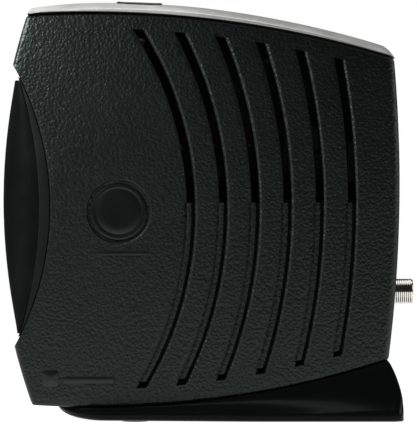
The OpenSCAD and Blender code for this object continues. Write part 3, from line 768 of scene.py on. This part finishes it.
def stand_ring(x, inset=0.0):
    """A section: a flank that flares out in a hollow curve, a rolled crease, an upright band
    and a rounded foot edge. With an inset it is the hollow's section, square at the foot."""
    wide = stand_half(x) - inset
    top_half = min(HALF_W - SEAM_INSET, SEAM_PART * stand_half(x)) - inset
    low = HOLLOW_FLOOR if inset else stand_low(x)
    crease = stand_low(x) + min(BAND_TALL, BAND_PART * (stand_high(x) - stand_low(x)))
    seam = stand_seam(x)
    high = max(stand_high(x) - inset, crease - inset)
    tall = crease - inset - low
    step = 0 if inset else FLANK_INSET
    half = [] if inset else [(top_half - 0.5, high)]
    for k in range(FLANK_STEPS):
        z = lerp(high - step, crease - inset, k / FLANK_STEPS)
        part = min(1.0, max(0.0, (seam - inset - z) / max(seam - crease, 0.05)))
        half.append((lerp(top_half, wide, part**2) - step, z))
    half += [(wide - 0.1, low + 0.97 * tall), (wide, low + 0.88 * tall), (wide, low + 0.45 * tall)]
    if inset:
        half += [(wide, low + 0.3 * tall), (wide, low + 0.1 * tall), (wide, low)]
    else:
        for k in (1, 2, 3, 4):
            a = math.radians(22.5 * k)
            half.append((wide - FOOT_ROLL * (1 - math.cos(a)),
                         low + 0.38 * tall * (1 - math.sin(a))))
    return [(x, y, z) for y, z in half] + [(x, -y, z) for y, z in reversed(half)]


def stand_piece():
    """The hollow stand with its two screw posts."""
    start, end = STAND_X
    xs = [start + d for d in (0, 0.15, 0.4, 0.8, 1.4, 2.2, 3.2, 4.5, 6, 8, 10, 12.5, 15, 17)]
    xs += spread(start + 19, 66, 44)
    xs += [end - d for d in (6.8, 5.8, 5, 4.2, 3.5, 2.9, 2.4, 1.9, 1.5, 1.2, 0.9, 0.6, 0.35, 0.15,
                             0.05, 0)]
    solid = new_piece("stand_base", *rings_to_mesh([stand_ring(x) for x in xs]), body=None)
    hollow_xs = spread(-38, 66, 30) + [67.6, 69.0, 70.1, 71.0, 71.7]
    hollow = rings_to_mesh([stand_ring(x, STAND_WALL) for x in hollow_xs])
    carve(solid, [new_piece("cutter", *hollow, body=None)])
    parts = [solid]
    for px, py in SCREWS_UP:
        seat = circle_z(BOTTOM, px, -1) - POST_SEAT
        profile = ((POST_HOLE_R, FOOT_Z + 0.2), (POST_HOLE_R + 0.2, FOOT_Z), (POST_R - 0.2, FOOT_Z),
                   (POST_R, FOOT_Z + 0.2), (POST_R, seat + POST_STEP),
                   (POST_SCREW_R, seat + POST_STEP), (POST_SCREW_R, seat), (POST_HOLE_R, seat))
        parts.append(lathe("post", profile, lambda u, v, h, px=px, py=py: (px + u, py + v, h),
                           40, None, closed=True))
    stand = join("stand_shell", parts)
    tidy_mesh(stand, STAND_SHARP)
    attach(stand, "housing")
    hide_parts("stand")
    return stand


# ================================================================ cable connector
THREAD_PITCH = 25.4 / 32
THREAD_X = (70.5, 78.7)
THREAD_R = 4.76
THREAD_DEPTH = 0.14
THREAD_FLAT = 0.12
THREAD_ROWS = 6
THREAD_START_LEN = 0.5
THREAD_END_LEN = 0.9
TIP_LEN = 0.5
TIP_TAPER = 0.35
BARREL_STEPS = 48
# The barrel's bore and hidden tail, and its mouth, as (radius, x)
BARREL_BORE = ((3.62, 78.9), (3.62, 62.0), (4.18, 62.0), (4.18, 70.3), (4.3, 70.45))
BARREL_MOUTH = ((4.25, 78.86), (4.05, 78.9))


def thread_radius(x, turn):
    """Radius of the thread at x, a part turn of the way round."""
    start, end = THREAD_X
    crest = abs(2 * (((x - start) / THREAD_PITCH - turn) % 1.0) - 1)
    slope = (crest - THREAD_FLAT) / (1 - 2 * THREAD_FLAT)
    depth = THREAD_DEPTH * (1 - min(1.0, max(0.0, slope)))
    fade = min(1.0, (x - start) / THREAD_START_LEN, (end - x) / THREAD_END_LEN + 0.15)
    tip = TIP_TAPER * max(0.0, (x - end + TIP_LEN) / TIP_LEN)
    return THREAD_R - depth * max(0.0, fade) - tip


def coax_barrel():
    """The connector's barrel with a real screw thread of 32 turns to the inch."""
    start, end = THREAD_X
    count = int((end - start) / THREAD_PITCH * THREAD_ROWS)
    verts = []
    for k in range(BARREL_STEPS):
        a = 2 * math.pi * k / BARREL_STEPS
        row = list(BARREL_BORE)
        row += [(thread_radius(x, k / BARREL_STEPS), x) for x in spread(start, end, count + 1)]
        row += BARREL_MOUTH
        verts += [(x, r * math.cos(a), CABLE_Z + r * math.sin(a)) for r, x in row]
    faces = turned_faces(BARREL_STEPS, len(row), True)
    barrel = new_piece("coax_barrel", verts, faces, sharp=40)
    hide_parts("cable_connector")
    return barrel


# ================================================================ materials
class Nodes:
    """A node material being wired up."""

    def __init__(self, name):
        self.material = bpy.data.materials.new(name)
        self.material.use_nodes = True
        self.tree = self.material.node_tree
        self.shader = self.tree.nodes["Principled BSDF"]
        self.coords = self.tree.nodes.new("ShaderNodeTexCoord").outputs["Object"]

    def add(self, kind, inputs=(), **settings):
        """A node with its settings, and its inputs linked or set."""
        node = self.tree.nodes.new(kind)
        for key, value in settings.items():
            setattr(node, key, value)
        for key, value in dict(inputs).items():
            if isinstance(value, bpy.types.NodeSocket):
                self.tree.links.new(value, node.inputs[key])
            else:
                node.inputs[key].default_value = value
        return node

    def noise(self, scale, detail=3.0, rough=0.5, warp=None):
        return self.add("ShaderNodeTexNoise", {"Vector": warp or self.coords, "Scale": scale,
                                               "Detail": detail, "Roughness": rough}).outputs[0]

    def cells(self, scale, vector, feature="SMOOTH_F1", scatter=1.0):
        node = self.add("ShaderNodeTexVoronoi", {"Vector": vector, "Scale": scale,
                                                 "Randomness": scatter}, feature=feature)
        if feature == "SMOOTH_F1":
            node.inputs["Smoothness"].default_value = 0.35
        return node.outputs["Distance"]

    def math(self, operation, a, b):
        return self.add("ShaderNodeMath", {0: a, 1: b}, operation=operation).outputs[0]

    def spread(self, value, low, high, out_low, out_high):
        return self.add("ShaderNodeMapRange", {"Value": value, "From Min": low, "From Max": high,
                                               "To Min": out_low, "To Max": out_high}).outputs[0]

    def blend(self, factor, a, b):
        node = self.add("ShaderNodeMix", data_type="RGBA")
        for socket, value in ((node.inputs[0], factor), (node.inputs[6], a), (node.inputs[7], b)):
            if isinstance(value, bpy.types.NodeSocket):
                self.tree.links.new(value, socket)
            else:
                socket.default_value = value
        return node.outputs[2]

    def bump(self, height, distance, strength=1.0):
        return self.add("ShaderNodeBump", {"Height": height, "Distance": distance,
                                           "Strength": strength}).outputs[0]

    def wire(self, **sockets):
        """Links what varies over the surface to the shader."""
        names = {"color": "Base Color", "rough": "Roughness", "normal": "Normal"}
        for key, value in sockets.items():
            self.tree.links.new(value, self.shader.inputs[names[key]])

    def set(self, **values):
        """Sets what is the same all over on the shader's own sockets."""
        names = {"metal": "Metallic", "specular": "Specular IOR Level", "coat": "Coat Weight",
                 "coat_rough": "Coat Roughness", "ior": "IOR", "through": "Transmission Weight",
                 "tint": "Specular Tint", "glow": "Emission Color", "glow_level": "Emission Strength"}
        for key, value in values.items():
            self.shader.inputs[names[key]].default_value = value


GREEN_SHEEN = (0.84, 1.0, 0.94, 1.0)
WHITE = (1.0, 1.0, 1.0, 1.0)


def tone(color, gain):
    """A colour made lighter or darker, with its alpha."""
    return tuple(min(1.0, c * gain) for c in color[:3]) + (1.0,)


def worn_and_highlit_edges(n, color, lighter, amount=0.5):
    """Lightens the colour where the surface turns a convex corner: partly rubbed wear, partly a
    painted highlight along the edges.
    """
    edge = n.add("ShaderNodeNewGeometry").outputs["Pointiness"]
    edge_wear_and_highlight = n.spread(edge, 0.52, 0.6, 0.0, amount)
    patch = n.math("MULTIPLY", edge_wear_and_highlight, n.noise(160, 4.0))
    return n.blend(patch, color, lighter)


def pebbled_plastic(name, color):
    """Moulded plastic with a leather-like pebble grain, as on the shells; the grain's hollows carry
    painted shade.
    """
    n = Nodes(name)
    drift = n.add("ShaderNodeTexNoise", {"Vector": n.coords, "Scale": 300.0, "Detail": 2.0})
    shift = n.add("ShaderNodeVectorMath", {0: drift.outputs["Color"], "Scale": 0.0012},
                  operation="SCALE")
    grain_at = n.add("ShaderNodeVectorMath", {0: n.coords, 1: shift.outputs[0]},
                     operation="ADD").outputs[0]
    pebble = n.cells(860.0, grain_at)
    small = n.cells(1700.0, grain_at)
    fine = n.noise(2600.0, 3.0)
    height = n.math("ADD", n.math("MULTIPLY", pebble, -1.0), n.math("MULTIPLY", small, -0.35))
    height = n.math("ADD", height, n.math("MULTIPLY", fine, 0.25))
    mottle = n.noise(45.0, 5.0, 0.6)
    base = n.blend(n.spread(mottle, 0.3, 0.7, 0.0, 1.0), tone(color, 0.82), tone(color, 1.2))
    # Painted shade: the colour darkens towards 0.55 of itself in the hollows between the pebbles
    base = n.blend(n.spread(pebble, 0.1, 0.6, 0.0, 0.5), base, tone(color, 0.55))
    # Rims and groove edges painted up to 2.6 times lighter: partly wear, partly a painted highlight
    n.wire(color=worn_and_highlit_edges(n, base, tone(color, 2.6), 0.5),
           rough=n.spread(n.math("ADD", fine, mottle), 0.6, 1.4, 0.39, 0.47),
           normal=n.bump(height, 0.0002))
    n.set(specular=0.32, tint=GREEN_SHEEN)
    return n.material


def smooth_plastic(name, color, rough, specular=0.5, metallic=0.0, fine=0.00002, edge_wear_and_highlight=1.8,
                   tint=WHITE):
    """Smooth moulded plastic: faint orange peel, dust-like roughness, and lighter edges that are
    partly rubbed wear, partly a painted highlight.
    """
    n = Nodes(name)
    mottle = n.noise(60.0, 5.0, 0.65)
    streak = n.noise(700.0, 4.0, 0.7)
    base = n.blend(n.spread(mottle, 0.35, 0.65, 0.0, 1.0), tone(color, 0.93), tone(color, 1.08))
    n.wire(color=worn_and_highlit_edges(n, base, tone(color, edge_wear_and_highlight), 0.5),
           rough=n.spread(n.math("ADD", mottle, n.math("MULTIPLY", streak, 0.5)), 0.5, 1.0,
                          rough * 0.82, rough * 1.22),
           normal=n.bump(n.math("ADD", streak, n.noise(260.0, 2.0)), fine, 0.6))
    n.set(specular=specular, metal=metallic, tint=tint)
    return n.material


def metal(name, color, rough, along=(1.0, 1.0, 1.0)):
    """Plated or drawn metal: streaks along one direction, tarnish and small dents."""
    n = Nodes(name)
    mapping = n.add("ShaderNodeMapping", {"Vector": n.coords, "Scale": along})
    streak = n.noise(900.0, 4.0, 0.6, mapping.outputs[0])
    tarnish = n.noise(190.0, 5.0, 0.7)
    base = n.blend(n.spread(tarnish, 0.4, 0.75, 0.0, 0.7), color + (1.0,), tone(color, 0.72))
    # Convex edges painted lighter: partly wear, partly a painted highlight
    n.wire(color=worn_and_highlit_edges(n, base, tone(color, 1.25), 0.6),
           rough=n.spread(n.math("ADD", streak, tarnish), 0.6, 1.4, rough * 0.7, rough * 1.4),
           normal=n.bump(streak, 0.00001, 0.7))
    n.set(metal=1.0)
    return n.material


def rubber(name, color):
    """Dull, dusty rubber with a fine grain."""
    n = Nodes(name)
    grain = n.noise(1400.0, 5.0, 0.7)
    dust = n.noise(90.0, 4.0)
    base = n.blend(n.spread(dust, 0.4, 0.7, 0.0, 0.6), tone(color, 0.8), tone(color, 1.5))
    n.wire(color=base, rough=n.spread(grain, 0.3, 0.7, 0.75, 0.95),
           normal=n.bump(grain, 0.00005, 0.7))
    n.set(specular=0.25)
    return n.material


def circuit_board():
    """Green solder mask with copper runs under it and plated holes."""
    n = Nodes("circuit_board")
    split = n.add("ShaderNodeSeparateXYZ", {0: n.coords})
    plan = n.add("ShaderNodeCombineXYZ", {"X": split.outputs[0], "Y": split.outputs[2]}).outputs[0]
    runs = n.add("ShaderNodeTexBrick", {"Vector": plan, "Scale": 260.0, "Mortar Size": 0.045,
                                        "Brick Width": 2.4, "Row Height": 0.34,
                                        "Mortar Smooth": 0.1})
    runs.offset_frequency, runs.squash_frequency = 3, 4
    area = n.spread(n.cells(70.0, plan, "F1"), 0.45, 0.5, 0.0, 1.0)
    copper = n.math("MULTIPLY", n.math("SUBTRACT", 1.0, runs.outputs["Fac"]), area)
    holes = n.spread(n.cells(190.0, plan, "F1", 0.35), 0.08, 0.1, 1.0, 0.0)
    mask = n.blend(copper, (0.0012, 0.0065, 0.003, 1), (0.003, 0.018, 0.008, 1))
    n.wire(color=n.blend(holes, mask, (0.12, 0.11, 0.08, 1)),
           rough=n.spread(n.noise(300.0), 0.3, 0.7, 0.25, 0.42),
           normal=n.bump(n.math("ADD", copper, n.math("MULTIPLY", holes, 0.8)), 0.00004, 0.8))
    n.set(specular=0.3, coat=0.05, coat_rough=0.2)
    return n.material


def clear_plastic(name, color):
    """Cloudy plastic that lets light through."""
    n = Nodes(name)
    cloud = n.noise(220.0, 4.0)
    n.wire(color=n.blend(cloud, tone(color, 0.85), tone(color, 1.0)),
           rough=n.spread(cloud, 0.3, 0.7, 0.12, 0.3), normal=n.bump(cloud, 0.00003, 0.5))
    n.set(through=0.55, ior=1.49)
    return n.material


def make_materials():
    """Every material by the slot it belongs to."""
    return {
        "screw": metal("zinc_screw", (0.52, 0.52, 0.53), 0.3),
        "tin": metal("tinned_steel", (0.6, 0.6, 0.58), 0.34, (1.0, 1.0, 0.06)),
        "connector": metal("nickel_plate", (0.62, 0.6, 0.55), 0.14),
        "contact": metal("gold_contact", (0.83, 0.6, 0.24), 0.2),
        "heat_sink": metal("black_anodised", (0.045, 0.045, 0.05), 0.45, (1.0, 0.05, 1.0)),
        "capacitor": smooth_plastic("sleeved_can", (0.008, 0.011, 0.022), 0.35),
        "shell": pebbled_plastic("pebbled_black", (0.0016, 0.0025, 0.0023)),
        "bezel": smooth_plastic("bezel_black", (0.0022, 0.0034, 0.003), 0.45, 0.2, tint=GREEN_SHEEN),
        "lens": smooth_plastic("smoked_lens", (0.0018, 0.0026, 0.0022), 0.3, 0.19, tint=GREEN_SHEEN),
        "trim": smooth_plastic("silver_trim", (0.48, 0.48, 0.47), 0.36, 0.4, 0.5, edge_wear_and_highlight=1.2),
        "button": smooth_plastic("button_black", (0.006, 0.006, 0.006), 0.42, 0.35),
        "stand": smooth_plastic("stand_black", (0.0028, 0.0034, 0.0032), 0.2, 0.05),
        "foot": rubber("foot_rubber", (0.02, 0.02, 0.021)),
        "light_pipe": clear_plastic("light_pipe", (0.8, 0.86, 0.84)),
        "led": clear_plastic("led_epoxy", (0.62, 0.85, 0.55)),
        "switch_body": smooth_plastic("switch_body", (0.012, 0.012, 0.013), 0.5),
        "switch_plunger": smooth_plastic("switch_plunger", (0.62, 0.6, 0.55), 0.45),
        "insulator": smooth_plastic("insulator", (0.74, 0.73, 0.69), 0.4),
        "socket": smooth_plastic("socket_black", (0.01, 0.01, 0.011), 0.42),
        "chip": smooth_plastic("chip_resin", (0.014, 0.014, 0.015), 0.55, fine=0.00004),
        "inductor": smooth_plastic("ferrite", (0.045, 0.038, 0.034), 0.6, fine=0.00006),
        "ceramic": smooth_plastic("ceramic_parts", (0.32, 0.24, 0.16), 0.45),
        "board": circuit_board(),
        "badge": smooth_plastic("badge_black", (0.003, 0.0036, 0.0035), 0.34, 0.32,
                                tint=GREEN_SHEEN),
    }


# ================================================================ build
shells = [side_shell("left_side", -1, "left_shell"), side_shell("right_side", 1, "right_shell")]
# The badge is a plain disc with a low ring, as (radius, depth)
BADGE_DISC = (
    (10.7, 1.3), (10.7, 0.5), (10.62, 0.36), (10.4, 0.28), (9.2, 0.26), (9.0, 0.34),
    (8.8, 0.4), (8.5, 0.36), (8.2, 0.26), (6.0, 0.2), (3.0, 0.17), (0.8, 0.16),
)
badge = lathe("badge_disc", BADGE_DISC, on_side(-1, BADGE_AT), 72)
bars = [
    rounded_bar("name_bar", (-32.8, 63.9), (19.5, 1.7), 0.7),
    rounded_bar("corner_tile", (-60.2, 16.2), (6.4, 6.4), 1.6),
    rounded_bar("corner_bar", (-45.6, 15.6), (19.5, 2.6), 0.9),
]
lens = smoked_lens()
bezel = bezel_frame()
trim = top_trim()
seat = trim_seat()
button = standby_cap()
stand = stand_piece()
barrel = coax_barrel()

materials = make_materials()
made_of = {"shell": shells, "bezel": [bezel], "lens": [lens], "trim": [trim],
           "button": [button, seat], "stand": [stand], "connector": [barrel]}
for slot_name, pieces in made_of.items():
    for piece in pieces:
        piece.data.materials.clear()
        piece.data.materials.append(materials[slot_name])
for piece in bars + [badge]:
    piece.data.materials.append(materials["badge"])

# CAD pieces that stay visible get their material, and some get rounded edges this wide
SLOT_OF = {row["node"]: row["material_slot"] for row in frame["record"]["subparts"]}
ROUNDED = {"back_panel": 0.25, "stand_plate": 0.3, "stand_feet": 0.3, "cable_nut": 0.2,
           "cable_insulator": 0.12, "ethernet_jack": 0.12, "power_jack": 0.12,
           "usb_insulator": 0.1, "main_chip": 0.2, "memory_chips": 0.12, "capacitors": 0.5,
           "power_inductor": 0.6, "ethernet_transformer": 0.25, "clock_crystal": 0.25,
           "heat_sink": 0.12, "stand_screws": 0.12, "back_screws": 0.12, "board_screws": 0.12,
           "standby_switch": 0.12, "reset_switch": 0.12, "light_pipes": 0.15,
           "status_leds": 0.25, "tuner_lid": 0.15, "standby_plunger": 0.2,
           "reset_plunger": 0.2}
ROUNDED_ABOVE = 40
for node_name, node in NODES.items():
    node.data.materials.clear()
    node.data.materials.append(materials[SLOT_OF[node_name]])
    if node_name in ROUNDED:
        mod = node.modifiers.new("edge", "BEVEL")
        mod.width = ROUNDED[node_name] * MM
        mod.segments = 2
        mod.limit_method = "ANGLE"
        mod.angle_limit = math.radians(ROUNDED_ABOVE)
        mod.harden_normals = True

# ================================================================ stage, light, camera
# From here on lengths are metres
FLOOR_X = (-0.6, 0.6)
FLOOR_Y = (-0.32, 0.1)
FLOOR_Z = -0.0001
CAMERA_AWAY = 1.15
CAMERA_X = -0.0001
CAMERA_Z = 0.0792
VIEW_TALL = 0.1618
SENSOR = 36.0
FILL_LEVEL = 0.03

floor_mesh = bpy.data.meshes.new("floor")
corners = [(x, y, FLOOR_Z) for y in FLOOR_Y for x in FLOOR_X]
floor_mesh.from_pydata(corners, [], [(0, 1, 3, 2)])
floor = bpy.data.objects.new("floor", floor_mesh)
bpy.context.scene.collection.objects.link(floor)
table = Nodes("lit_table")
table.wire(color=table.blend(table.noise(3.0), (0.48, 0.48, 0.48, 1), (0.52, 0.52, 0.52, 1)),
           rough=table.spread(table.noise(40.0), 0.3, 0.7, 0.8, 0.9))
table.set(specular=0.05, glow=WHITE, glow_level=1.0)
floor_mesh.materials.append(table.material)


def soft_light(name, at, target, size, power):
    """A white area light that faces its target."""
    data = bpy.data.lights.new(name, "AREA")
    data.shape = "RECTANGLE"
    data.size, data.size_y = size
    data.energy = power
    obj = bpy.data.objects.new(name, data)
    obj.location = at
    obj.rotation_euler = (Vector(target) - Vector(at)).to_track_quat("-Z", "Y").to_euler()
    bpy.context.scene.collection.objects.link(obj)


# name, place, target, size, watts
soft_light("overhead", (0.1, 0.25, 1.3), (0.0, 0.05, 0), (1.6, 1.4), 16)
soft_light("near_left", (-0.155, -0.085, 0.2), (-0.03, -0.02, 0.12), (0.06, 0.06), 0.56)
soft_light("right_fill", (0.9, 0.1, 0.3), (0, 0, 0.08), (0.4, 0.4), 2)

# The open air behind everything is plain white to look at, and gives only a faint fill
world = bpy.data.worlds.new("studio")
world.use_nodes = True
bpy.context.scene.world = world
sky = world.node_tree.nodes["Background"]
sky.inputs["Color"].default_value = WHITE
seen = world.node_tree.nodes.new("ShaderNodeLightPath")
level = world.node_tree.nodes.new("ShaderNodeMapRange")
level.inputs["To Min"].default_value = FILL_LEVEL
level.inputs["To Max"].default_value = 1.0
world.node_tree.links.new(seen.outputs["Is Camera Ray"], level.inputs["Value"])
world.node_tree.links.new(level.outputs[0], sky.inputs["Strength"])

camera_data = bpy.data.cameras.new("camera")
camera_data.sensor_width = SENSOR
camera_data.lens = SENSOR * CAMERA_AWAY / VIEW_TALL
camera_data.clip_start = 0.05
camera_data.clip_end = 10.0
camera = bpy.data.objects.new("camera", camera_data)
camera.location = (CAMERA_X, -(CAMERA_AWAY + HALF_W * MM), CAMERA_Z)
camera.rotation_euler = (math.radians(90), 0, 0)
bpy.context.scene.collection.objects.link(camera)
bpy.context.scene.camera = camera
bpy.context.scene.view_settings.view_transform = "Standard"
